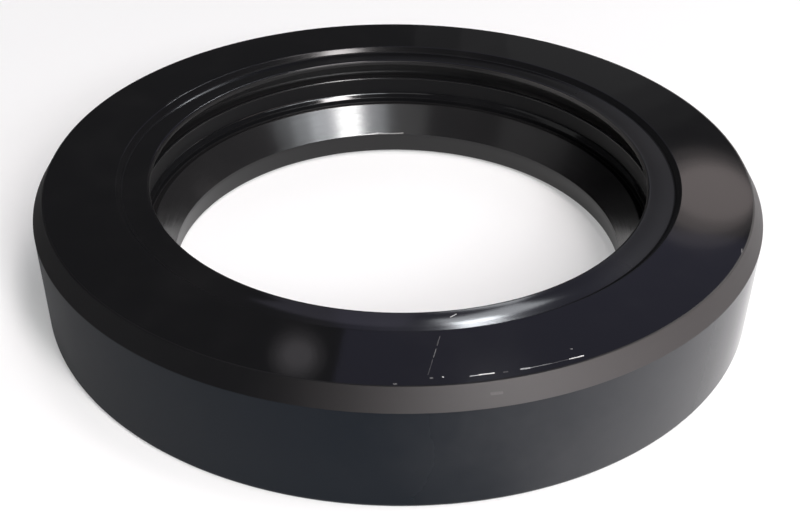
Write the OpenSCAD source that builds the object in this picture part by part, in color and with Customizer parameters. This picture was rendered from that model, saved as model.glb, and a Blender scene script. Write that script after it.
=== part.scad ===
// Rubber-covered radial shaft seal with a dust lip, a sealing lip and a garter spring.
// The shaft's axis is Z. The seal lies on its oil side, at z = 0, with the air-side face up.

/* [Seal size] */
// Diameter of the shaft that the lips run on
shaft_d = 60; // [52:0.5:66]
// Diameter of the housing bore that the seal is pressed into
housing_d = 90; // [86:0.5:120]
// Width of the seal along the shaft
seal_w = 15; // [14:0.5:22]

/* [Outer cover] */
// Radial depth of the lead-in chamfer on the air side
chamfer_depth = 1.4; // [0.6:0.1:2]
// Length of that chamfer along the axis
chamfer_len = 2.2; // [1:0.1:3]
// Radius that softens the two edges of the chamfer
chamfer_soft = 0.25; // [0.1:0.05:0.4]
// Radius of the outer edge on the oil side
oil_edge_r = 0.6; // [0.2:0.1:0.9]
// Rubber over the wall of the case
cover_t = 1.8; // [1.2:0.1:3]
// Rubber over the flange of the case
face_t = 1.5; // [1:0.1:2.2]
// Rubber under the end of the case wall
hem_t = 1.2; // [0.8:0.1:3]

/* [Steel case] */
// Thickness of the steel sheet
case_t = 1.2; // [0.8:0.1:1.5]
// Inside radius of the bend between wall and flange
bend_r = 0.8; // [0.4:0.1:2]
// Rubber between the rim of the flange and the inner edge of the face
rim_wrap = 1.2; // [0.6:0.1:2]
// How far the rubber reaches back under the flange from its rim
under_wrap = 1.6; // [1.2:0.1:3]
// Thickness of the rubber under the flange
under_t = 1; // [0.6:0.1:1.4]

/* [Dust lip] */
// Radial gap between the dust lip and the shaft
dust_gap = 1; // [0.4:0.1:1.4]
// Radial length of the dust lip, from the inner edge of the face to its tip
dust_len = 4; // [3.6:0.1:6]
// How far the tip lies below the face
dust_drop = 0.4; // [0.2:0.1:0.8]
// Thickness of the tip
dust_tip_t = 0.8; // [0.6:0.1:1]
// Thickness of the dust lip at its root
dust_root_t = 1.3; // [1:0.1:1.6]
// Depth of the step at the inner edge of the face
step_depth = 0.7; // [0.5:0.1:1]
// Radial width of the slope of that step
step_w = 0.6; // [0.3:0.1:1]
// Radius of the hollow at the foot of the step
step_hollow_r = 1.4; // [0.6:0.1:1.6]
// Radius of the inner edge of the face
step_edge_r = 0.2; // [0.1:0.05:0.3]

/* [Groove behind the dust lip] */
// Radial depth of the groove
groove_depth = 1.7; // [1.2:0.1:2]
// Depth of the floor of the groove below the face
groove_floor = 3.9; // [3.4:0.1:4.4]
// Radius of the two inner corners of the groove
groove_round = 0.5; // [0.2:0.1:0.6]

/* [Neck] */
// Radial gap between the neck and the shaft
neck_gap = 2.5; // [2.35:0.05:2.8]
// Thickness of the neck
neck_t = 1.7; // [1.5:0.1:2.2]
// Radius of the edge between the neck and the groove
neck_edge_r = 0.25; // [0.1:0.05:0.3]
// Radial width of the sloping foot of the neck
foot_w = 0.5; // [0.3:0.1:0.6]
// Height of that foot
foot_h = 0.7; // [0.5:0.1:0.9]
// Radius of the hollow above the foot
foot_hollow_r = 1.2; // [0.6:0.1:1.4]
// Radius of the hollow between the back of the neck and the flange
root_r = 1.2; // [0.6:0.1:1.6]

/* [Sealing lip] */
// How far the free lip stands inside the radius of the shaft
lip_bite = 1; // [0.4:0.1:1.6]
// Length of the cylindrical contact band along the axis
lip_band = 0.4; // [0.2:0.1:0.8]
// Height of the lower edge of the contact band above the oil-side face
lip_z = 2.95; // [2.5:0.05:3.6]
// Gap between the end of the lip and the oil-side plane
lip_end_gap = 0.4; // [0.2:0.1:0.8]
// How far the lip opens again between its band and its end
lip_relief = 0.32; // [0.1:0.02:0.6]
// Angle of the air-side cone of the lip to the axis
cone_angle = 27.5; // [24:0.5:31]
// Length of that cone along the axis
cone_len = 4.1; // [3.8:0.1:4.4]
// Radial width of the ledge above the cone
ledge_w = 1; // [0.7:0.1:1.2]
// Fall of the ledge towards the neck
ledge_fall = 0.3; // [0.1:0.05:0.5]
// Height of the wall that stands on the ledge
ledge_wall = 0.8; // [0.5:0.1:1]
// Radius of the small edges of the lip
lip_edge_r = 0.15; // [0.05:0.05:0.2]

/* [Garter spring] */
// Outside diameter of the coil
coil_d = 3; // [2.4:0.1:3.2]
// Diameter of the wire
wire_d = 0.7; // [0.5:0.05:0.8]
// Number of turns round the ring
coil_turns = 200; // [120:1:220]
// Play between the coil and its groove
coil_play = 0.06; // [0.02:0.02:0.2]
// Rubber between the contact band and the spring groove
lip_wall = 2; // [1.6:0.1:2.4]
// Height of the middle of the spring above the middle of the contact band
spring_rise = 0.45; // [0:0.05:0.8]
// Half of the angle that the spring groove leaves open
seat_open = 80; // [60:1:88]
// Rubber above the spring groove, up to the back of the neck
seat_roof = 0.8; // [0.5:0.1:1.2]
// Radius of the heel of the lip and of the edge above the spring
heel_r = 0.6; // [0.3:0.1:0.8]

/* [Hidden] */

// Facets of a full turn
$fn = 180;
// Largest turn of an arc between two points of a section
arc_step = 15;
// Points along one turn of the coil, and sides of its wire
turn_points = 6;
wire_sides = 4;

shaft_r = shaft_d / 2;
outer_r = housing_d / 2;

// Case
wall_out_r = outer_r - cover_t;
wall_in_r = wall_out_r - case_t;
flange_top = seal_w - face_t;
flange_under = flange_top - case_t;

// Dust lip, with its tip rounded almost to a half circle
dust_tip_r = shaft_r + dust_gap;
dust_tip_z = seal_w - dust_drop;
dust_tip_soft = 0.45 * dust_tip_t;
face_in_r = dust_tip_r + dust_len;
rim_r = face_in_r + rim_wrap;

// Groove and neck
neck_r = shaft_r + neck_gap;
groove_r = neck_r + groove_depth;
groove_floor_z = seal_w - groove_floor;
groove_roof_z = seal_w - step_depth - dust_root_t;

// Sealing lip
lip_r = shaft_r - lip_bite;
band_top = lip_z + lip_band;
cone_top = band_top + cone_len;
cone_top_r = lip_r + cone_len * tan(cone_angle);
ledge_r = cone_top_r + ledge_w;
ledge_z = cone_top - ledge_fall;
ledge_top = ledge_z + ledge_wall;

// Spring and its seat
spring_seat_r = coil_d / 2 + coil_play;
spring_r = lip_r + lip_wall + spring_seat_r;
spring_z = lip_z + lip_band / 2 + spring_rise;

// Back of the neck, and the rubber under the flange
shoulder_r = neck_r + neck_t;
shoulder_z = spring_z + spring_seat_r + seat_roof;
under_r = rim_r + under_wrap;
under_z = flange_under - under_t;

function unit(v) = v / norm(v);
function flat(p) = [p[0], p[1]];

// Points of the arc of radius p[2] that rounds the corner p between the corners a and b
function rounded_corner(a, p, b) =
    p[2] == 0 ? [flat(p)] :
    let (
        u = unit(flat(a) - flat(p)),
        v = unit(flat(b) - flat(p)),
        half = acos(u * v) / 2,
        centre = flat(p) + unit(u + v) * p[2] / sin(half),
        first = flat(p) + u * p[2] / tan(half) - centre,
        side = u[0] * v[1] - u[1] * v[0] > 0 ? -1 : 1,
        sweep = side * (180 - 2 * half),
        steps = ceil(abs(sweep) / arc_step),
        from = atan2(first[1], first[0])
    )
    [
        for (i = [0:steps])
        let (angle = from + sweep * i / steps)
        centre + p[2] * [cos(angle), sin(angle)]
    ];

// Outline through corners, each given as [radius, height, rounding]
function outline(corners) =
    let (count = len(corners))
    [
        for (i = [0:count - 1])
        each rounded_corner(corners[(i + count - 1) % count], corners[i], corners[(i + 1) % count])
    ];

// Points of an arc round a centre, as corners that need no rounding
function arc(centre, r, from, to) =
    let (steps = ceil(abs(to - from) / arc_step))
    [
        for (i = [0:steps])
        let (angle = from + (to - from) * i / steps)
        [centre[0] + r * cos(angle), centre[1] + r * sin(angle), 0]
    ];

// Faces of the case that the rubber is bonded to, from under the flange round to the end of the wall
bonded_corners = [
    [rim_r, flange_under, 0],
    [rim_r, flange_top, 0],
    [wall_out_r, flange_top, bend_r + case_t],
    [wall_out_r, hem_t, 0],
    [wall_in_r, hem_t, 0]
];

cover_corners = [
    [wall_in_r, 0, 0],
    [outer_r, 0, oil_edge_r],
    [outer_r, seal_w - chamfer_len, chamfer_soft],
    [outer_r - chamfer_depth, seal_w, chamfer_soft],
    [face_in_r, seal_w, step_edge_r]
];

dust_lip_corners = [
    [face_in_r - step_w, seal_w - step_depth, step_hollow_r],
    [dust_tip_r, dust_tip_z, dust_tip_soft],
    [dust_tip_r, dust_tip_z - dust_tip_t, dust_tip_soft],
    [groove_r, groove_roof_z, groove_round],
    [groove_r, groove_floor_z, groove_round]
];

neck_corners = [
    [neck_r, groove_floor_z, neck_edge_r],
    [ledge_r + foot_w, ledge_top + foot_h, foot_hollow_r],
    [ledge_r, ledge_top, lip_edge_r],
    [ledge_r, ledge_z, lip_edge_r]
];

sealing_lip_corners = [
    [cone_top_r, cone_top, lip_edge_r],
    [lip_r, band_top, 0],
    [lip_r, lip_z, 0],
    [lip_r + lip_relief, lip_end_gap, lip_edge_r],
    [spring_r - heel_r, lip_end_gap, heel_r]
];

back_corners = [
    [shoulder_r, shoulder_z, heel_r],
    [rim_r, under_z, root_r],
    [under_r, under_z, lip_edge_r],
    [under_r, flange_under, 0]
];

module rubber_body() {
    color([0.07, 0.07, 0.08])
    rotate_extrude()
    polygon(outline(concat(
        cover_corners,
        dust_lip_corners,
        neck_corners,
        sealing_lip_corners,
        arc([spring_r, spring_z], spring_seat_r, 360 - seat_open, seat_open),
        back_corners,
        bonded_corners
    )));
}

module steel_case() {
    color([0.36, 0.37, 0.38])
    rotate_extrude()
    polygon(outline(concat(bonded_corners, [[wall_in_r, flange_under, bend_r]])));
}

// The wire circles the ring's centre line once per turn, and the ring closes on itself after the last turn.
// Each section of the wire lies in the plane of the coil's radius and the ring's tangent.
module garter_spring() {
    count = coil_turns * turn_points;
    mean_r = (coil_d - wire_d) / 2;
    points = [
        for (i = [0:count - 1], k = [0:wire_sides - 1])
        let (
            round_ring = 360 * i / count,
            round_coil = 360 * i / turn_points,
            round_wire = 360 * k / wire_sides,
            out = mean_r + wire_d / 2 * cos(round_wire),
            along = wire_d / 2 * sin(round_wire),
            r = spring_r + out * cos(round_coil)
        )
        [
            r * cos(round_ring) - along * sin(round_ring),
            r * sin(round_ring) + along * cos(round_ring),
            spring_z + out * sin(round_coil)
        ]
    ];
    faces = [
        for (i = [0:count - 1], k = [0:wire_sides - 1])
        let (
            next = (i + 1) % count,
            side = (k + 1) % wire_sides,
            a = i * wire_sides + k,
            b = i * wire_sides + side,
            c = next * wire_sides + side,
            d = next * wire_sides + k
        )
        each [[a, b, c], [a, c, d]]
    ];
    color([0.62, 0.63, 0.65])
    polyhedron(points, faces);
}

rubber_body();
steel_case();
garter_spring();
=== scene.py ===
"""Surfaces, finishes and studio of a rubber-covered oil seal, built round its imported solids.

Every length is in metres, in the frame of the solids: Z is the axis of the shaft, the seal lies on its
oil side at z = 0, and the air-side face looks up.
"""

import math

import bpy
import numpy as np
from bpy.props import FloatProperty, FloatVectorProperty, IntProperty, PointerProperty
from bpy.types import Operator, Panel, PropertyGroup
from mathutils import Matrix, Vector


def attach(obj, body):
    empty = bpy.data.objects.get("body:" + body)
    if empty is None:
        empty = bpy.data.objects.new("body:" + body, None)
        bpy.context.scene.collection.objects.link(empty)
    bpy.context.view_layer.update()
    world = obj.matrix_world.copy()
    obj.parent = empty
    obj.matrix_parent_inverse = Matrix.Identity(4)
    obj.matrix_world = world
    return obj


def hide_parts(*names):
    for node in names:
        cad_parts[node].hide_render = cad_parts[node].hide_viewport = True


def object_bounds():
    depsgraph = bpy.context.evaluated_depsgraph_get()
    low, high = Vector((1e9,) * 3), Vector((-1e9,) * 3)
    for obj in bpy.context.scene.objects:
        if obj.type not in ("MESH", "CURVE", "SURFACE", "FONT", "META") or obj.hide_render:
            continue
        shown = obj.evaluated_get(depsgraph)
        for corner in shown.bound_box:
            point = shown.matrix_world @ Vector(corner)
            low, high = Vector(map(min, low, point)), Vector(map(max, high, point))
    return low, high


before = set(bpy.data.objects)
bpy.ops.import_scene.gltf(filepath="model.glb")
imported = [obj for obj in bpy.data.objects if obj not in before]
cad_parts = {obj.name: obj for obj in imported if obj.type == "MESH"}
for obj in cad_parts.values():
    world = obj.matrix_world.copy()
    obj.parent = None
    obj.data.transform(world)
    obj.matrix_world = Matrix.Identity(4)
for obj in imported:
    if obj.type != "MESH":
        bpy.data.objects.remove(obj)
CAD_LOW, CAD_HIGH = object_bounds()

bl_info = {
    "name": "Oil Seal Looks",
    "version": (1, 0, 0),
    "blender": (4, 5, 0),
    "location": "View3D > Sidebar > Oil Seal",
    "description": "Surfaces, finishes and studio of a rubber-covered oil seal",
    "category": "Object",
}

MM = 0.001
BODY = "root"

# Zones of the rubber, each with its roughness, index of refraction and depth of grain
RUBBER_ZONES = {
    "cover": (0.3, 1.24, 0.8),
    "chamfer": (0.42, 1.22, 1),
    "edge": (0.5, 1.28, 1),
    "face": (0.05, 1.5, 0.15),
    "dust": (0.1, 1.5, 0.2),
    "groove": (0.4, 1.3, 0.6),
    "neck": (0.4, 1.2, 0.6),
    "step": (0.18, 1.5, 0.3),
    "foot": (0.1, 1.5, 0.2),
    "lip": (0.18, 1.5, 0.3),
    "land": (0.35, 1.46, 0.6),
    "back": (0.45, 1.4, 1),
}
COVER, CHAMFER, EDGE, FACE, DUST, GROOVE, NECK, STEP, FOOT, LIP, LAND, BACK = range(len(RUBBER_ZONES))
MARKED_ZONES = ("face", "chamfer", "dust", "lip")

# Zones whose roughness changes round the axis: two cosines of the angle, which is -1 on the left and 1 on
# the right, and the roughness at each
GLOSS_FADES = {
    "cover": (-1, 0.7, 0.62, 0.1),
    "chamfer": (-0.95, -0.3, 0.75, 0.42),
    "dust": (0.55, 0.9, 0.1, 0.36),
}
# The same for the share of painted light, which lightens the cover, the chamfer, the groove and the edge
# on the right:
# on the chamfer it grows and then thins out, and the groove and the edge get the dust colour
COVER_PAINTED_LIGHT_FADE = (-0.05, 0.75, 0, 1)
CHAMFER_PAINTED_LIGHT_FADES = ((-0.35, 0.35, 0, 1), (0.35, 0.75, 1, 0.72))
GROOVE_AND_EDGE_PAINTED_LIGHT_FADE = (0.3, 0.9, 0, 0.4)
# Dust in the smudges: two values of their noise, and its share at each
SMUDGE_DUST = (0.45, 0.8, 0, 0.02)

# Scales of the noise in the rubber, for smudges and for grain and streaks
SMUDGE_SCALE = 70
GRAIN_SCALE = 2600
# Share of the angle that the streaks are drawn out by
STREAK_STRETCH = 0.0018
# How strongly smudges vary the gloss, as a share of the roughness, and the edge of the painted light on
# the cover
SMUDGE_GLOSS = 0.4
SMUDGE_PAINTED_LIGHT = 0.3
# How strongly streaks vary the gloss, and the zones that differ from that
STREAK_GLOSS = 0.15
STREAK_GLOSS_APART = {"cover": 0, "lip": 0.7}
# Depth of the streaks on the sealing lip, for a grain of depth 1
LIP_STREAKS = 1.5
# Roughness of a mark of wear, and of the painted highlight on the sealing lip
MARK_ROUGHNESS = 0.6

# Marks of wear on the face and the lips, and a painted highlight on the sealing lip: start and end in
# millimetres, half width in millimetres, strength
MARKS = [
    ((4.34, -35.7), (4.02, -37.2), 0.055, 0.1),
    ((3.9, -37.8), (3.62, -39.1), 0.06, 0.16),
    ((3.55, -39.4), (3.03, -41.8), 0.05, 0.07),
    ((3.31, -42.26), (3.4, -42.25), 0.17, 0.12),
    ((4.47, -42.1), (4.49, -42.1), 0.11, 0.8),
    ((7.1, -41.95), (8.2, -41.7), 0.07, 0.3),
    ((8.0, -41.72), (9.43, -41.42), 0.1, 0.9),
    ((10.4, -41.27), (10.75, -41.2), 0.11, 0.08),
    ((12.1, -40.8), (12.95, -40.6), 0.12, 0.35),
    ((12.95, -40.6), (15.2, -39.85), 0.05, 0.2),
    ((15.2, -39.85), (17.06, -39.15), 0.045, 0.1),
    ((17.06, -39.15), (18.45, -38.61), 0.1, 0.9),
    ((17.35, -37.57), (17.45, -37.55), 0.09, 0.25),
    ((38.72, -19.2), (38.55, -20.0), 0.08, 0.25),
    ((5.55, -31.75), (6.15, -31.3), 0.07, 0.5),
    ((9.1, -43.3), (10.2, -43.08), 0.11, 0.03),
    ((-0.2, -43.2), (-0.05, -43.2), 0.17, 0.12),
    # Painted highlight, not wear: a bright line along the lower edge of the sealing lip at the back
    ((-7, 28.22), (-3.2, 28.9), 0.08, 0.4),
    ((-3.2, 28.9), (0.6, 29.07), 0.07, 0.25),
]

# Points on the arc of each rounded corner of a section, and stations round the axis
CORNER_POINTS = 7
RING_STATIONS = 384
# Largest turn between two points of the spring's groove
GROOVE_STEP = math.radians(15)
# Rounding of the edges that are sharp on the solids, so that light catches them
SHARP_EDGE = 0.04 * MM
# Rounding of the dished top of the dust lip, as a share of its width squared over its depth
DISH_ROUND = 0.13
# Rounding of the tip of the dust lip, as a share of its thickness
TIP_ROUND = 0.45
# How far the finish of an edge or a hollow reaches past its corner, as a share of the rounding
EDGE_REACH = 0.7
HOLLOW_REACH = 0.6
SHINE_REACH = 1.1
# Points along one turn of the coil, and sides of its wire
TURN_POINTS = 16
WIRE_SIDES = 10

# Lamps: name, shape, azimuth and elevation in degrees, distance, width and height, radiance, colour
BOX, ROUND = "RECTANGLE", "ELLIPSE"
WHITE = (1, 1, 1)
WARM = (1, 0.87, 0.83)
ROSE = (1, 0.95, 0.95)
COOL = (0.92, 0.96, 1)
LAMPS = [
    # Windows on the right of the camera, which give most of the light
    ("window", BOX, 27, 28, 0.6, (0.12, 0.12), 36, WHITE),
    ("window_high", BOX, 35, 46.5, 0.6, (0.11, 0.27), 28, ROSE),
    ("window_right", BOX, 40, 26, 0.6, (0.13, 0.1), 10, COOL),
    ("window_side", BOX, 50.5, 25.5, 0.6, (0.12, 0.1), 5, COOL),
    ("window_far", BOX, 61, 25, 0.6, (0.13, 0.1), 2, COOL),
    ("window_left", BOX, 14, 28, 0.6, (0.13, 0.12), 5.5, COOL),
    ("key_top", BOX, 92, 75, 0.7, (0.16, 0.2), 13, ROSE),
    # Fills in front, on the left and low on the right
    ("fill_front", BOX, -4, 27, 0.6, (0.2, 0.14), 0.8, WHITE),
    ("fill_left", BOX, -75, 25, 0.6, (0.4, 0.2), 0.3, WHITE),
    ("fill_right", BOX, 60, 4.5, 0.6, (0.42, 0.11), 1.8, WARM),
    ("fill_low", BOX, 88, 3, 0.6, (0.35, 0.08), 2, WARM),
    # Cards behind, whose soft edges are stacked discs: the face mirrors them
    ("back_card", ROUND, 158.4, 29.4, 0.606, (0.05, 0.034), 0.5, (1, 0.86, 0.84)),
    ("back_card_mid", ROUND, 158.8, 29.6, 0.61, (0.06, 0.046), 0.45, (1, 0.87, 0.85)),
    ("back_card_edge", ROUND, 159.2, 29.8, 0.614, (0.075, 0.062), 0.25, (1, 0.9, 0.89)),
    ("back_fill", ROUND, 168, 22, 0.6, (0.1, 0.06), 0.03, WHITE),
    ("back_fill_mid", ROUND, 168.5, 22.2, 0.604, (0.15, 0.085), 0.03, WHITE),
    ("back_fill_edge", ROUND, 169, 22.4, 0.608, (0.2, 0.11), 0.03, WHITE),
    ("back_glow", ROUND, 188.1, 41.2, 0.57, (0.018, 0.016), 0.24, (1, 0.94, 1)),
    ("back_glow_mid", ROUND, 188.15, 41.25, 0.574, (0.026, 0.024), 0.22, (1, 0.94, 1)),
    ("back_glow_edge", ROUND, 188.1, 41.2, 0.578, (0.036, 0.033), 0.15, (1, 0.94, 1)),
    # Ceiling behind, which the lips and the front of the face mirror
    ("ceiling_spot", BOX, 172.5, 43.8, 1.477, (0.074, 0.062), 31, COOL),
    ("ceiling_glow", BOX, 168.5, 47.5, 0.58, (0.085, 0.07), 5, COOL),
    ("ceiling_panel", BOX, 166, 50, 0.6, (0.3, 0.39), 0.22, (0.6, 0.6, 1)),
    ("ceiling_left", BOX, 188, 51, 0.6, (0.13, 0.12), 0.4, (0.8, 0.76, 1)),
]
# Ring of the floor, under the seal, that lets light from below reach the oil side
CLEAR_RING = (30.6 * MM, 43.8 * MM)

# Distances from the axis between which the floor's glow rises to white, where the lamps don't reach it
GLOW_RANGE = (0.05, 0.5)

# Gap between the seal and the floor, so that their surfaces don't coincide
FLOOR_GAP = 0.02 * MM

# Picture that the camera is fitted to
IMAGE_WIDTH = 800
SENSOR_WIDTH = 36


def length(name, description, millimetres):
    """A length that the user may change, with its default given in millimetres."""
    return FloatProperty(
        name=name,
        description=description,
        default=millimetres * MM,
        min=0,
        precision=5,
        subtype="DISTANCE",
        unit="LENGTH",
    )


def share(name, description, default):
    """A number from 0 to 1 that the user may change."""
    return FloatProperty(
        name=name, description=description, default=default, min=0, max=1, subtype="FACTOR"
    )


def colour(name, description, default):
    """A linear colour that the user may change."""
    return FloatVectorProperty(
        name=name, description=description, default=default, size=3, min=0, max=1, subtype="COLOR"
    )


class SealRubber(PropertyGroup):
    """Sizes and finish of the moulded rubber."""

    outer_radius: length("Outer radius", "Radius of the outer cover", CAD_HIGH.x / MM)
    width: length("Width", "Width of the seal along the shaft", CAD_HIGH.z / MM)
    chamfer_depth: length("Chamfer depth", "Radial depth of the lead-in chamfer", 1.4)
    chamfer_length: length("Chamfer length", "Length of the chamfer along the axis", 2.2)
    chamfer_soft: length("Chamfer edges", "Rounding of the two edges of the chamfer", 0.25)
    oil_edge: length("Oil-side edge", "Rounding of the outer edge on the oil side", 0.6)
    face_radius: length("Face radius", "Radius of the inner edge of the face", 35)
    step_edge: length("Step edge", "Rounding of the inner edge of the face", 0.2)
    step_depth: length("Step depth", "Depth of the step at the inner edge of the face", 0.7)
    step_width: length("Step width", "Radial width of the slope of that step", 0.6)
    step_hollow: length("Step hollow", "Radius of the hollow at the foot of the step", 0.3)
    dust_radius: length("Dust lip radius", "Radius of the tip of the dust lip", 31)
    dust_drop: length("Dust lip drop", "How far the tip lies below the face", 0.4)
    dust_dish: length("Dust lip dish", "How far the top of the dust lip is dished", 0.08)
    dust_tip: length("Dust lip tip", "Thickness of the tip of the dust lip", 0.8)
    dust_root: length("Dust lip root", "Thickness of the dust lip at its root", 1.3)
    groove_radius: length("Groove radius", "Radius of the wall of the groove behind the dust lip", 34.2)
    groove_floor: length("Groove floor", "Depth of the floor of the groove below the face", 3.9)
    groove_round: length("Groove corners", "Rounding of the two inner corners of the groove", 0.5)
    neck_radius: length("Neck radius", "Radius of the bore of the neck", 32.5)
    neck_edge: length("Neck edge", "Rounding of the edge between neck and groove", 0.25)
    neck_thickness: length("Neck thickness", "Thickness of the neck", 1.7)
    foot_width: length("Foot width", "Radial width of the sloping foot of the neck", 0.5)
    foot_height: length("Foot height", "Height of that foot", 0.7)
    foot_hollow: length("Foot hollow", "Radius of the hollow above the foot", 1.2)
    ledge_width: length("Ledge width", "Radial width of the ledge above the lip's cone", 1)
    ledge_fall: length("Ledge fall", "Fall of the ledge towards the neck", 0.3)
    ledge_wall: length("Ledge wall", "Height of the wall that stands on the ledge", 0.8)
    lip_radius: length("Lip radius", "Radius of the free contact band of the sealing lip", 29)
    lip_height: length("Lip height", "Height of the lower edge of the contact band", 2.95)
    lip_band: length("Lip band", "Length of the contact band along the axis", 0.4)
    lip_end: length("Lip end", "Gap between the end of the lip and the oil-side plane", 0.4)
    lip_relief: length("Lip relief", "How far the lip opens between its band and its end", 0.32)
    cone_length: length("Cone length", "Length of the air-side cone of the lip", 4.1)
    cone_angle: FloatProperty(
        name="Cone angle",
        description="Angle of that cone to the axis",
        default=math.radians(27.5),
        subtype="ANGLE",
        unit="ROTATION",
    )
    lip_edge: length("Lip edges", "Rounding of the small edges of the lip", 0.15)
    heel: length("Heel", "Rounding of the heel of the lip and of the edge above the spring", 0.6)
    seat_roof: length("Seat roof", "Rubber above the spring's groove, up to the back of the neck", 0.8)
    seat_play: length("Seat play", "Play between the coil and its groove", 0.06)
    seat_open: FloatProperty(
        name="Seat opening",
        description="Half of the angle that the spring's groove leaves open",
        default=math.radians(80),
        subtype="ANGLE",
        unit="ROTATION",
    )
    root_hollow: length("Root hollow", "Radius of the hollow between the neck and the flange", 1.2)
    under_wrap: length("Wrap", "How far the rubber reaches back under the flange", 1.6)
    under_thickness: length("Wrap thickness", "Thickness of the rubber under the flange", 1)
    tint: colour("Rubber", "Colour of the face and the bore", (0.0052, 0.0052, 0.0058))
    lip_tint: colour("Sealing lip", "Colour of the sealing lip", (0.012, 0.0117, 0.0122))
    cover_tint: colour("Cover", "Colour of the outer cover", (0.0015, 0.004, 0.008))
    # Painted light: this colour paints the right of the cover lighter
    cover_painted_light_tint: colour("Bloom", "Colour of the wax bloom on one side of the cover", (0.05, 0.051, 0.0545))
    # Painted light: this colour paints the chamfer lighter from the front towards the right
    chamfer_painted_light_tint: colour("Scurf", "Colour of the dull film on the chamfer", (0.065, 0.0605, 0.0605))
    # Real dust in the smudges, and painted light on the right of the groove and the edge
    dust_and_painted_light_tint: colour("Dust", "Colour of dust on the rubber", (0.16, 0.155, 0.15))
    # Also the colour of the painted highlight along the lower edge of the sealing lip at the back
    scuff_and_highlight_tint: colour("Scuff", "Colour of scratches and nicks", (0.8, 0.79, 0.77))


class SealCase(PropertyGroup):
    """Sizes and finish of the pressed steel case."""

    wall_radius: length("Wall radius", "Outside radius of the wall", 43.2)
    rim_radius: length("Rim radius", "Radius of the hole in the flange", 36.2)
    flange_height: length("Flange height", "Height of the top of the flange", 13.5)
    wall_end: length("Wall end", "Height of the lower end of the wall", 1.2)
    thickness: length("Sheet", "Thickness of the steel sheet", 1.2)
    bend: length("Bend", "Inside radius of the bend between wall and flange", 0.8)
    tint: colour("Steel", "Colour of the phosphated steel", (0.2, 0.2, 0.205))


class SealSpring(PropertyGroup):
    """Sizes and finish of the garter spring."""

    ring_radius: length("Ring radius", "Radius of the coil's centre line", 32.56)
    height: length("Height", "Height of the coil's centre line", 3.6)
    coil_diameter: length("Coil", "Outside diameter of the coil", 3)
    wire_diameter: length("Wire", "Diameter of the wire", 0.7)
    turns: IntProperty(name="Turns", description="Turns round the ring", default=200, min=40, max=220)
    tint: colour("Wire steel", "Colour of the drawn wire", (0.55, 0.55, 0.56))


class SealStage(PropertyGroup):
    """Floor, lights and camera."""

    floor_size: length("Floor", "Width of the floor", 6000)
    floor_tint: colour("Floor colour", "Colour of the floor", (0.62, 0.62, 0.62))
    floor_glow: share("Floor glow", "Light that the floor adds for the camera and mirrors", 0.33)
    room_tint: colour("Room", "Radiance of the dim room above the floor", (0.045, 0.045, 0.047))
    under_tint: colour("Under light", "Radiance below the floor", (0.85, 0.85, 0.86))
    eye: FloatVectorProperty(
        name="Eye",
        description="Place of the camera",
        default=(0, -128.304 * MM, 87.371 * MM),
        size=3,
        subtype="TRANSLATION",
        unit="LENGTH",
    )
    pitch: FloatProperty(
        name="Pitch",
        description="How far the camera looks down",
        default=math.radians(34.583),
        subtype="ANGLE",
        unit="ROTATION",
    )
    yaw: FloatProperty(
        name="Yaw",
        description="How far the camera looks to the right",
        default=0.00236,
        subtype="ANGLE",
        unit="ROTATION",
    )
    roll: FloatProperty(
        name="Roll",
        description="How far the camera leans to the left",
        default=math.radians(0.682),
        subtype="ANGLE",
        unit="ROTATION",
    )
    focal_pixels: FloatProperty(
        name="Focal length", description="Focal length in pixels of the picture", default=1162.96
    )


def rounded_outline(corners):
    """Closed outline through corners, given as rows of radius, height, rounding and zone of the next side.

    A corner gives way to the arc that touches both of its sides. With half the corner's angle h, the arc's
    centre lies rounding / sin(h) along the bisector, and the arc turns by 180 degrees - 2 h about it.
    The first half of an arc has the zone of the side before it, and the rest that of the side after it.
    Returns the points as rows of radius and height, and the zone that starts at each.
    """
    corners = np.asarray(corners, float)
    place, rounding, zone = corners[:, :2], corners[:, 2], corners[:, 3].astype(int)
    before = np.roll(place, 1, axis=0) - place
    after = np.roll(place, -1, axis=0) - place
    before /= np.linalg.norm(before, axis=1, keepdims=True)
    after /= np.linalg.norm(after, axis=1, keepdims=True)
    half = np.arccos(np.clip((before * after).sum(1), -1, 1)) / 2
    side = before + after
    side /= np.maximum(np.linalg.norm(side, axis=1, keepdims=True), 1e-12)
    centre = place + side * (rounding / np.sin(half))[:, None]
    start = place + before * (rounding / np.tan(half))[:, None] - centre
    turn = np.sign(before[:, 1] * after[:, 0] - before[:, 0] * after[:, 1]) * (math.pi - 2 * half)
    t = np.linspace(0, 1, CORNER_POINTS)
    angle = np.arctan2(start[:, 1], start[:, 0])[:, None] + turn[:, None] * t
    arc = centre[:, None] + rounding[:, None, None] * np.stack([np.cos(angle), np.sin(angle)], -1)
    zones = np.where(t < 0.5, np.roll(zone, 1)[:, None], zone[:, None]).reshape(-1)
    points = arc.reshape(-1, 2)
    apart = np.linalg.norm(np.roll(points, -1, axis=0) - points, axis=1) > 1e-8
    return points[apart], zones[apart]


def revolved(outline, stations):
    """Ring surface: each point (r, z) of the outline is carried round to (r cos a, r sin a, z)."""
    angle = np.linspace(0, 2 * math.pi, stations, endpoint=False)
    r, z = outline[:, :1], outline[:, 1:]
    return np.stack([r * np.cos(angle), r * np.sin(angle), z + 0 * angle], -1)


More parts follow.
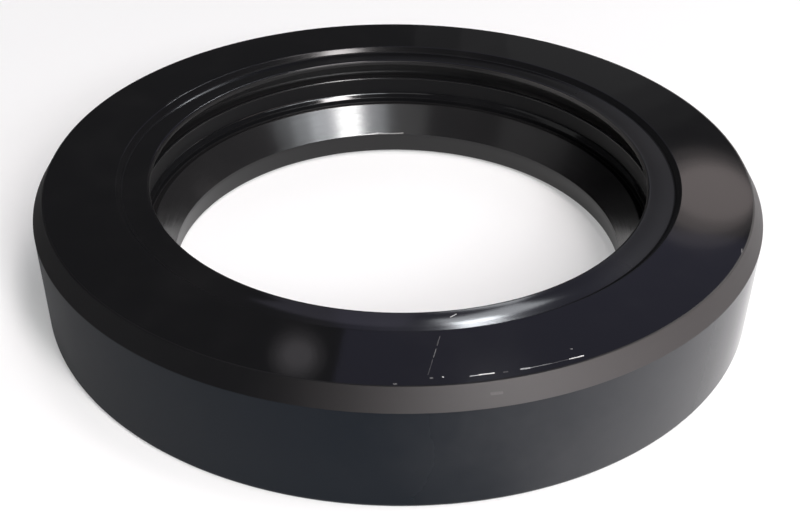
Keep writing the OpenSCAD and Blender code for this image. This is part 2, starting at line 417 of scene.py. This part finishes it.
def coil(props):
    """Tube of a coil that closes on itself, as a grid of points along the wire and round its section.

    At share t of the way round, the ring's angle is a = 2 pi t and the coil's angle is b = turns * a. The
    wire's middle lies at radius R + m cos b and height m sin b, with m the coil's mean radius. The wire's
    section is a circle in the plane of the coil's radius and of the normal that it makes with the path.
    """
    t = np.linspace(0, 1, props.turns * TURN_POINTS, endpoint=False)
    a = 2 * math.pi * t
    b = props.turns * a
    mean = (props.coil_diameter - props.wire_diameter) / 2
    outward = np.stack([np.cos(a), np.sin(a), 0 * a], -1)
    up = np.array([0.0, 0.0, 1.0])
    spoke = outward * np.cos(b)[:, None] + up * np.sin(b)[:, None]
    middle = outward * props.ring_radius + up * props.height + spoke * mean
    path = np.roll(middle, -1, axis=0) - np.roll(middle, 1, axis=0)
    path /= np.linalg.norm(path, axis=1, keepdims=True)
    spoke -= path * (spoke * path).sum(1)[:, None]
    spoke /= np.linalg.norm(spoke, axis=1, keepdims=True)
    across = np.cross(path, spoke)
    c = np.linspace(0, 2 * math.pi, WIRE_SIDES, endpoint=False)[None, :, None]
    section = spoke[:, None] * np.cos(c) + across[:, None] * np.sin(c)
    return middle[:, None] + section * props.wire_diameter / 2


def ring_object(name, grid, zones=None):
    """Mesh object of a grid that closes in both directions, with normals weighted by area.

    The face of cell (i, j) runs through (i, j), (i, j + 1), (i + 1, j + 1) and (i + 1, j). A vertex normal
    is the sum of the cross products of the diagonals of its four faces, so that broad faces stay flat.
    """
    rows, columns = grid.shape[:2]
    index = np.arange(rows * columns).reshape(rows, columns)
    ahead = np.roll(index, -1, axis=0)
    faces = np.stack(
        [index, np.roll(index, -1, axis=1), np.roll(ahead, -1, axis=1), ahead], -1
    ).reshape(-1, 4)
    points = grid.reshape(-1, 3)
    a, b, c, d = (points[faces[:, k]].reshape(rows, columns, 3) for k in range(4))
    flat = np.cross(c - a, d - b)
    flat = flat + np.roll(flat, 1, axis=0)
    normals = (flat + np.roll(flat, 1, axis=1)).reshape(-1, 3)
    normals /= np.linalg.norm(normals, axis=1, keepdims=True)

    mesh = bpy.data.meshes.new(name)
    mesh.vertices.add(len(points))
    mesh.vertices.foreach_set("co", points.astype(np.float32).ravel())
    mesh.loops.add(faces.size)
    mesh.loops.foreach_set("vertex_index", faces.astype(np.int32).ravel())
    mesh.polygons.add(len(faces))
    mesh.polygons.foreach_set("loop_start", np.arange(0, faces.size, 4, dtype=np.int32))
    mesh.update(calc_edges=True)
    mesh.polygons.foreach_set("use_smooth", np.ones(len(faces), bool))
    mesh.normals_split_custom_set_from_vertices(normals.astype(np.float32))
    if zones is not None:
        mesh.polygons.foreach_set("material_index", np.repeat(zones, columns).astype(np.int32))
    if mesh.validate():
        raise RuntimeError(f"the mesh of {name} has faces that don't fit together")
    obj = bpy.data.objects.new(name, mesh)
    bpy.context.scene.collection.objects.link(obj)
    return obj


def stand_for(obj, node, slot, *materials):
    """Gives a piece its materials, and puts it in the place of a solid of the frame."""
    for material in materials:
        obj.data.materials.append(material)
    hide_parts(node)
    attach(obj, BODY)


class Nodes:
    """A node tree written as nested calls: an input that is a socket is linked, any other is set."""

    def __init__(self, owner):
        owner.use_nodes = True
        self.tree = owner.node_tree
        self.tree.nodes.clear()

    def add(self, kind, inputs=None, **settings):
        """Adds a node, sets its settings, and links or sets its inputs, named or numbered."""
        node = self.tree.nodes.new(kind)
        for key, value in settings.items():
            setattr(node, key, value)
        for key, value in (inputs or {}).items():
            if isinstance(value, bpy.types.NodeSocket):
                self.tree.links.new(value, node.inputs[key])
            else:
                node.inputs[key].default_value = value
        return node

    def math(self, operation, a, b=0.0, clamp=False):
        """One step of arithmetic on numbers."""
        return self.add("ShaderNodeMath", {0: a, 1: b}, operation=operation, use_clamp=clamp).outputs[0]

    def between(self, value, low, high, start=0.0, end=1.0):
        """Runs smoothly from start to end as the value goes from low to high, and stays there outside."""
        node = self.add(
            "ShaderNodeMapRange",
            {"Value": value, "From Min": low, "From Max": high, "To Min": start, "To Max": end},
            interpolation_type="SMOOTHSTEP",
        )
        return node.outputs["Result"]

    def noise(self, vector, scale, detail=2.0, roughness=0.5):
        """Smooth noise from 0 to 1."""
        node = self.add(
            "ShaderNodeTexNoise",
            {"Vector": vector, "Scale": scale, "Detail": detail, "Roughness": roughness},
        )
        return node.outputs["Fac"]

    def mixed(self, factor, a, b):
        """Colour between a and b."""
        node = self.add("ShaderNodeMix", data_type="RGBA")
        for key, value in ((0, factor), (6, a), (7, b)):
            if isinstance(value, bpy.types.NodeSocket):
                self.tree.links.new(value, node.inputs[key])
            else:
                node.inputs[key].default_value = value
        return node.outputs[2]

    def place(self):
        """Object coordinates, and the radius, angle and height that they stand for."""
        point = self.add("ShaderNodeTexCoord").outputs["Object"]
        axes = self.add("ShaderNodeSeparateXYZ", {0: point}).outputs
        flat = self.add("ShaderNodeCombineXYZ", {0: axes[0], 1: axes[1]}).outputs[0]
        radius = self.add("ShaderNodeVectorMath", {0: flat}, operation="LENGTH").outputs["Value"]
        return point, radius, self.math("ARCTAN2", axes[1], axes[0]), axes[2]

    def turned(self, radius, angle, height, stretch):
        """Place for a pattern that is drawn out round the axis, by a small share of the angle."""
        along = self.math("MULTIPLY", angle, stretch)
        return self.add("ShaderNodeCombineXYZ", {0: along, 1: radius, 2: height}).outputs[0]

    def vector(self, operation, a, b=(0.0, 0.0, 0.0), output="Vector"):
        """One step of arithmetic on vectors."""
        return self.add("ShaderNodeVectorMath", {0: a, 1: b}, operation=operation).outputs[output]

    def marks(self, point):
        """How strongly a place is marked by wear, and on the sealing lip by a painted highlight: each mark
        fades out within its half width of a line.

        With p the place from the start and l the line, the nearest point of the line is l times the dot
        product of p and l over the square of l, held between 0 and 1.
        """
        flat = self.vector("MULTIPLY", point, (1, 1, 0))
        ragged = self.math("ADD", self.math("MULTIPLY", self.noise(point, 4000, 2), 1.2), 0.4)
        marked = 0.0
        for start, end, half_width, strength in MARKS:
            line = Vector((end[0] - start[0], end[1] - start[1], 0)) * MM
            place = self.vector("SUBTRACT", flat, (start[0] * MM, start[1] * MM, 0))
            along = self.vector("DOT_PRODUCT", place, line / line.length_squared, output="Value")
            along = self.math("ADD", along, 0.0, clamp=True)
            nearest = self.add("ShaderNodeVectorMath", {0: line, "Scale": along}, operation="SCALE")
            away = self.vector("DISTANCE", place, nearest.outputs[0], output="Value")
            mark = self.between(away, 0.4 * half_width * MM, half_width * MM, strength, 0)
            marked = self.math("MAXIMUM", marked, mark)
        return self.math("MULTIPLY", marked, ragged, clamp=True)

    def finish(self, surface):
        """Puts the surface on the tree's output."""
        self.add("ShaderNodeOutputMaterial", {"Surface": surface})


def opaque(tint):
    """A colour with its alpha."""
    return (*tint, 1.0)


def rubber_material(props, zone):
    """Black moulded rubber with the finish of one of its zones.

    Smudges, and streaks that run round the axis, vary the gloss. The cover and the chamfer are duller on
    the left, and on the right the cover, the chamfer, the groove and the edge are painted lighter, as
    painted light.
    The face, the chamfer and the lips have marks of wear, and the sealing lip a painted highlight at the
    back.
    """
    roughness, ior, grain = RUBBER_ZONES[zone]
    material = bpy.data.materials.new(f"seal_rubber_{zone}")
    n = Nodes(material)
    point, radius, angle, height = n.place()
    side = n.math("COSINE", angle)
    smudge = n.noise(point, SMUDGE_SCALE, 4, 0.6)
    patchy = n.math("SUBTRACT", smudge, 0.5)
    streak = n.noise(n.turned(radius, angle, height, STREAK_STRETCH), GRAIN_SCALE, 2)
    streak_gloss = STREAK_GLOSS_APART.get(zone, STREAK_GLOSS)
    uneven = n.math("MULTIPLY", patchy, SMUDGE_GLOSS * roughness)
    drawn = n.math("MULTIPLY", n.math("SUBTRACT", streak, 0.5), streak_gloss * roughness)
    even = n.between(side, *GLOSS_FADES[zone]) if zone in GLOSS_FADES else roughness
    rough = n.math("ADD", n.math("ADD", uneven, drawn), even, clamp=True)
    relief = n.math("MULTIPLY", n.noise(point, GRAIN_SCALE, 3), grain)
    shade = opaque(props.lip_tint if zone in ("lip", "groove") else props.tint)
    # The dust colour: real dust in the smudges, and painted light on the groove and the edge
    dust = opaque(props.dust_and_painted_light_tint)
    # Painted light: the cover is painted lighter towards the right
    if zone == "cover":
        wide = n.math("ADD", side, n.math("MULTIPLY", patchy, SMUDGE_PAINTED_LIGHT))
        shade = n.mixed(n.between(wide, *COVER_PAINTED_LIGHT_FADE), opaque(props.cover_tint), opaque(props.cover_painted_light_tint))
    # Painted light: the chamfer is painted lighter from the front towards the right, where it grows and
    # then thins out
    elif zone == "chamfer":
        chamfer_painted_light = n.math("MULTIPLY", *(n.between(side, *fade) for fade in CHAMFER_PAINTED_LIGHT_FADES))
        shade = n.mixed(chamfer_painted_light, shade, opaque(props.chamfer_painted_light_tint))
    # Painted light: the groove and the edge are painted lighter towards the right, with the dust colour
    elif zone in ("groove", "edge"):
        shade = n.mixed(n.between(side, *GROOVE_AND_EDGE_PAINTED_LIGHT_FADE), shade, dust)
    shade = n.mixed(n.between(smudge, *SMUDGE_DUST), shade, dust)
    # Marks of wear, and the painted highlight on the sealing lip, in the scuff colour
    if zone in MARKED_ZONES:
        marked = n.marks(point)
        shade = n.mixed(marked, shade, opaque(props.scuff_and_highlight_tint))
        rough = n.math("MAXIMUM", rough, n.math("MULTIPLY", marked, MARK_ROUGHNESS))
        relief = n.math("SUBTRACT", relief, marked)
    if zone == "lip":
        relief = n.math("ADD", relief, n.math("MULTIPLY", streak, LIP_STREAKS))
    bump = n.add("ShaderNodeBump", {"Height": relief, "Strength": 0.4, "Distance": 0.01 * MM})
    surface = n.add(
        "ShaderNodeBsdfPrincipled",
        {"Base Color": shade, "Roughness": rough, "IOR": ior, "Normal": bump.outputs[0]},
    )
    n.finish(surface.outputs[0])
    return material


def case_material(props):
    """Phosphated sheet steel: dull grey, with faint marks of drawing round the wall."""
    material = bpy.data.materials.new("seal_case_steel")
    n = Nodes(material)
    point, radius, angle, height = n.place()
    mottle = n.noise(point, 900, 5, 0.65)
    streak = n.noise(n.turned(radius, angle, height, 0.001), 3800, 3)
    dark = opaque([0.6 * c for c in props.tint])
    pale = opaque([1.35 * c for c in props.tint])
    patchy = n.math("ADD", mottle, n.math("MULTIPLY", streak, 0.4))
    tint = n.mixed(n.between(patchy, 0.45, 0.95), dark, pale)
    roughness = n.between(mottle, 0.3, 0.7, 0.38, 0.56)
    bump = n.add("ShaderNodeBump", {"Height": streak, "Strength": 0.2, "Distance": 0.02 * MM})
    surface = n.add(
        "ShaderNodeBsdfPrincipled",
        {"Base Color": tint, "Metallic": 0.9, "Roughness": roughness, "Normal": bump.outputs[0]},
    )
    n.finish(surface.outputs[0])
    return material


def wire_material(props):
    """Bright drawn wire, a little uneven in gloss."""
    material = bpy.data.materials.new("seal_spring_wire")
    n = Nodes(material)
    point = n.place()[0]
    mottle = n.noise(point, 1500, 3)
    dark = opaque([0.7 * c for c in props.tint])
    tint = n.mixed(n.between(mottle, 0.35, 0.65), dark, opaque(props.tint))
    roughness = n.between(mottle, 0.3, 0.7, 0.22, 0.36)
    surface = n.add(
        "ShaderNodeBsdfPrincipled", {"Base Color": tint, "Metallic": 1.0, "Roughness": roughness}
    )
    n.finish(surface.outputs[0])
    return material


def floor_material(props):
    """Pale matt floor, clear from below and under the seal.

    It glows a little to the camera and in mirrors, and glows white far from the seal.
    """
    material = bpy.data.materials.new("stage_floor")
    n = Nodes(material)
    radius = n.place()[1]
    inside = n.math("GREATER_THAN", radius, CLEAR_RING[0])
    covered = n.math("MULTIPLY", inside, n.math("LESS_THAN", radius, CLEAR_RING[1]))
    path = n.add("ShaderNodeLightPath").outputs
    seen = n.math("ADD", path["Is Camera Ray"], path["Is Glossy Ray"])
    seen = n.math("ADD", seen, path["Is Transmission Ray"], clamp=True)
    matt = n.add("ShaderNodeBsdfDiffuse", {"Color": opaque(props.floor_tint)}).outputs[0]
    strength = n.math("MULTIPLY", seen, n.between(radius, *GLOW_RANGE, props.floor_glow, 1))
    glow = n.add("ShaderNodeEmission", {"Color": opaque(WHITE), "Strength": strength}).outputs[0]
    top = n.add("ShaderNodeAddShader", {0: matt, 1: glow}).outputs[0]
    under = n.add("ShaderNodeBsdfTransparent").outputs[0]
    back = n.add("ShaderNodeNewGeometry").outputs["Backfacing"]
    clear = n.math("MAXIMUM", back, covered)
    n.finish(n.add("ShaderNodeMixShader", {0: clear, 1: top, 2: under}).outputs[0])
    return material


def room_world(props):
    """Dim, even room, with a pale light below the floor that shows the oil side in views from below."""
    world = bpy.data.worlds.new("studio")
    n = Nodes(world)
    up = n.add("ShaderNodeSeparateXYZ", {0: n.add("ShaderNodeTexCoord").outputs["Object"]}).outputs[2]
    tint = n.mixed(n.between(up, -0.3, 0), opaque(props.under_tint), opaque(props.room_tint))
    glow = n.add("ShaderNodeBackground", {"Color": tint, "Strength": 1.0})
    n.add("ShaderNodeOutputWorld", {"Surface": glow.outputs[0]})
    return world


def softbox(name, shape, azimuth, elevation, distance, size, radiance, tint):
    """Lamp that looks at the seal, of a width, a height and a radiance.

    Azimuth 0 is at the camera's side and 90 on the right. A lamp of area A and power P has the radiance
    P / (pi A).
    """
    a, e = math.radians(azimuth), math.radians(elevation)
    towards = Vector((math.sin(a) * math.cos(e), -math.cos(a) * math.cos(e), math.sin(e)))
    lamp = bpy.data.lights.new(name, "AREA")
    lamp.shape = shape
    lamp.size, lamp.size_y = size
    area = size[0] * size[1] * (math.pi / 4 if shape == ROUND else 1)
    lamp.energy = radiance * math.pi * area
    lamp.color = tint
    obj = bpy.data.objects.new(name, lamp)
    bpy.context.scene.collection.objects.link(obj)
    obj.location = towards * distance + Vector((0, 0, CAD_HIGH.z))
    obj.rotation_euler = towards.to_track_quat("Z", "Y").to_euler()
    obj.visible_camera = False
    return obj


class SEAL_OT_rubber_body(Operator):
    """Makes the moulded rubber: cover, face, dust lip, neck and sealing lip in one ring"""

    bl_idname = "seal.rubber_body"
    bl_label = "Rubber Body"

    def execute(self, context):
        s = context.scene.seal_rubber
        case = context.scene.seal_case
        spring = context.scene.seal_spring
        top = s.width
        case_inside = case.wall_radius - case.thickness
        flange_under = case.flange_height - case.thickness
        band_top = s.lip_height + s.lip_band
        cone_top = band_top + s.cone_length
        cone_radius = s.lip_radius + s.cone_length * math.tan(s.cone_angle)
        ledge_radius = cone_radius + s.ledge_width
        ledge_height = cone_top - s.ledge_fall
        ledge_top = ledge_height + s.ledge_wall
        seat = spring.coil_diameter / 2 + s.seat_play
        groove_floor = top - s.groove_floor
        under_radius = case.rim_radius + s.under_wrap
        under_height = flange_under - s.under_thickness

        cover = [
            (case_inside, 0, SHARP_EDGE, COVER),
            (s.outer_radius, 0, s.oil_edge, COVER),
            (s.outer_radius, top - s.chamfer_length, s.chamfer_soft, CHAMFER),
            (s.outer_radius - s.chamfer_depth, top, s.chamfer_soft, EDGE),
            (s.outer_radius - s.chamfer_depth - EDGE_REACH * s.chamfer_soft, top, 0, FACE),
            (s.face_radius, top, s.step_edge, STEP),
        ]
        step_radius = s.face_radius - s.step_width
        dish_radius = (step_radius + s.dust_radius) / 2
        dish_height = top - (s.step_depth + s.dust_drop) / 2 - s.dust_dish
        dish_round = DISH_ROUND * (step_radius - s.dust_radius) ** 2 / s.dust_dish
        step_foot = top - s.step_depth
        dull = HOLLOW_REACH * s.step_hollow
        steep = math.hypot(s.step_width, s.step_depth)
        dish_slope = (dish_height - step_foot) / (step_radius - dish_radius)
        dust_lip = [
            (step_radius + dull * s.step_width / steep, step_foot + dull * s.step_depth / steep, 0, NECK),
            (step_radius, step_foot, s.step_hollow, NECK),
            (step_radius - dull, step_foot + dull * dish_slope, 0, DUST),
            (dish_radius, dish_height, dish_round, DUST),
            (s.dust_radius, top - s.dust_drop, TIP_ROUND * s.dust_tip, GROOVE),
            (s.dust_radius, top - s.dust_drop - s.dust_tip, TIP_ROUND * s.dust_tip, GROOVE),
            (s.groove_radius, step_foot - s.dust_root, s.groove_round, GROOVE),
            (s.groove_radius, groove_floor, s.groove_round, GROOVE),
        ]
        foot_radius, foot_top = ledge_radius + s.foot_width, ledge_top + s.foot_height
        neck_slope = (foot_radius - s.neck_radius) / (groove_floor - foot_top)
        shine = SHINE_REACH * s.neck_edge
        neck = [
            (s.neck_radius + shine, groove_floor, 0, STEP),
            (s.neck_radius, groove_floor, s.neck_edge, STEP),
            (s.neck_radius + neck_slope * shine, groove_floor - shine, 0, NECK),
            (foot_radius, foot_top, s.foot_hollow, FOOT),
            (ledge_radius, ledge_top, s.lip_edge, NECK),
            (ledge_radius, ledge_height, s.lip_edge, LIP),
        ]
        sealing_lip = [
            (cone_radius, cone_top, s.lip_edge, LIP),
            (s.lip_radius, band_top, SHARP_EDGE, LAND),
            (s.lip_radius, s.lip_height, SHARP_EDGE, LAND),
            (s.lip_radius + s.lip_relief, s.lip_end, s.lip_edge, BACK),
            (spring.ring_radius - s.heel, s.lip_end, s.heel, BACK),
        ]
        steps = math.ceil((2 * math.pi - 2 * s.seat_open) / GROOVE_STEP)
        seat_angle = np.linspace(2 * math.pi - s.seat_open, s.seat_open, steps + 1)
        seat_rounding = np.zeros(steps + 1)
        seat_rounding[[0, -1]] = SHARP_EDGE
        spring_seat = np.stack(
            [
                spring.ring_radius + seat * np.cos(seat_angle),
                spring.height + seat * np.sin(seat_angle),
                seat_rounding,
                np.full(steps + 1, BACK),
            ],
            -1,
        )
        back = [
            (s.neck_radius + s.neck_thickness, spring.height + seat + s.seat_roof, s.heel, BACK),
            (case.rim_radius, under_height, s.root_hollow, BACK),
            (under_radius, under_height, s.lip_edge, BACK),
            (under_radius, flange_under, SHARP_EDGE, BACK),
        ]
        bonded = [
            (case.rim_radius, flange_under, SHARP_EDGE, BACK),
            (case.rim_radius, case.flange_height, SHARP_EDGE, BACK),
            (case.wall_radius, case.flange_height, case.bend + case.thickness, BACK),
            (case.wall_radius, case.wall_end, SHARP_EDGE, BACK),
            (case_inside, case.wall_end, SHARP_EDGE, BACK),
        ]
        corners = [*cover, *dust_lip, *neck, *sealing_lip, *spring_seat, *back, *bonded]
        outline, zones = rounded_outline(corners)
        obj = ring_object("rubber_body_dressed", revolved(outline, RING_STATIONS), zones)
        stand_for(obj, "rubber_body", "rubber", *(rubber_material(s, zone) for zone in RUBBER_ZONES))
        return {"FINISHED"}


class SEAL_OT_steel_case(Operator):
    """Makes the pressed steel case that is bonded in the rubber"""

    bl_idname = "seal.steel_case"
    bl_label = "Steel Case"

    def execute(self, context):
        s = context.scene.seal_case
        inside = s.wall_radius - s.thickness
        under = s.flange_height - s.thickness
        corners = [
            (s.rim_radius, under, SHARP_EDGE, 0),
            (s.rim_radius, s.flange_height, SHARP_EDGE, 0),
            (s.wall_radius, s.flange_height, s.bend + s.thickness, 0),
            (s.wall_radius, s.wall_end, SHARP_EDGE, 0),
            (inside, s.wall_end, SHARP_EDGE, 0),
            (inside, under, s.bend, 0),
        ]
        outline = rounded_outline(corners)[0][::-1]
        obj = ring_object("steel_case_dressed", revolved(outline, RING_STATIONS))
        stand_for(obj, "steel_case", "case_steel", case_material(s))
        return {"FINISHED"}


class SEAL_OT_garter_spring(Operator):
    """Makes the garter spring that lies in the groove behind the sealing lip"""

    bl_idname = "seal.garter_spring"
    bl_label = "Garter Spring"

    def execute(self, context):
        s = context.scene.seal_spring
        obj = ring_object("garter_spring_dressed", coil(s))
        stand_for(obj, "garter_spring", "spring_steel", wire_material(s))
        return {"FINISHED"}


class SEAL_OT_stage(Operator):
    """Makes the pale floor, the studio lights and the camera"""

    bl_idname = "seal.stage"
    bl_label = "Stage"

    def execute(self, context):
        s = context.scene.seal_stage
        scene = context.scene
        half = s.floor_size / 2
        corners = [(-half, -half), (half, -half), (half, half), (-half, half)]
        mesh = bpy.data.meshes.new("floor")
        mesh.from_pydata([(x, y, -FLOOR_GAP) for x, y in corners], [], [(0, 1, 2, 3)])
        mesh.materials.append(floor_material(s))
        floor = bpy.data.objects.new("floor", mesh)
        scene.collection.objects.link(floor)

        for name, *lamp in LAMPS:
            softbox(name, *lamp)
        scene.world = room_world(s)

        forward = Vector(
            (
                math.sin(s.yaw) * math.cos(s.pitch),
                math.cos(s.yaw) * math.cos(s.pitch),
                -math.sin(s.pitch),
            )
        )
        right = forward.cross(Vector((0, 0, 1))).normalized()
        up = right.cross(forward)
        leaned = right * math.cos(s.roll) + up * math.sin(s.roll)
        upright = up * math.cos(s.roll) - right * math.sin(s.roll)
        lens = bpy.data.cameras.new("camera")
        lens.sensor_width = SENSOR_WIDTH
        lens.lens = s.focal_pixels * SENSOR_WIDTH / IMAGE_WIDTH
        lens.clip_start = 1 * MM
        camera = bpy.data.objects.new("camera", lens)
        scene.collection.objects.link(camera)
        turn = Matrix((leaned, upright, -forward)).transposed()
        camera.matrix_world = Matrix.Translation(s.eye) @ turn.to_4x4()
        scene.camera = camera
        scene.view_settings.view_transform = "Standard"
        return {"FINISHED"}


class SEAL_PT_looks(Panel):
    """Lists what the seal is made of, with its sizes and finishes"""

    bl_idname = "SEAL_PT_looks"
    bl_label = "Oil Seal"
    bl_space_type = "VIEW_3D"
    bl_region_type = "UI"
    bl_category = "Oil Seal"

    def draw(self, context):
        for name, operator in GROUPS:
            box = self.layout.box()
            box.operator(operator)
            props = getattr(context.scene, name)
            for field in props.__annotations__:
                box.prop(props, field)


GROUPS = [
    ("seal_rubber", "seal.rubber_body"),
    ("seal_case", "seal.steel_case"),
    ("seal_spring", "seal.garter_spring"),
    ("seal_stage", "seal.stage"),
]
PROPERTIES = {
    "seal_rubber": SealRubber,
    "seal_case": SealCase,
    "seal_spring": SealSpring,
    "seal_stage": SealStage,
}
CLASSES = [
    *PROPERTIES.values(),
    SEAL_OT_rubber_body,
    SEAL_OT_steel_case,
    SEAL_OT_garter_spring,
    SEAL_OT_stage,
    SEAL_PT_looks,
]


def register():
    for cls in CLASSES:
        bpy.utils.register_class(cls)
    for name, cls in PROPERTIES.items():
        setattr(bpy.types.Scene, name, PointerProperty(type=cls))


def unregister():
    for name in PROPERTIES:
        delattr(bpy.types.Scene, name)
    for cls in reversed(CLASSES):
        bpy.utils.unregister_class(cls)


def main():
    """Makes the pieces and the stage."""
    register()
    bpy.ops.seal.rubber_body()
    bpy.ops.seal.steel_case()
    bpy.ops.seal.garter_spring()
    bpy.ops.seal.stage()


if __name__ == "__main__":
    main()
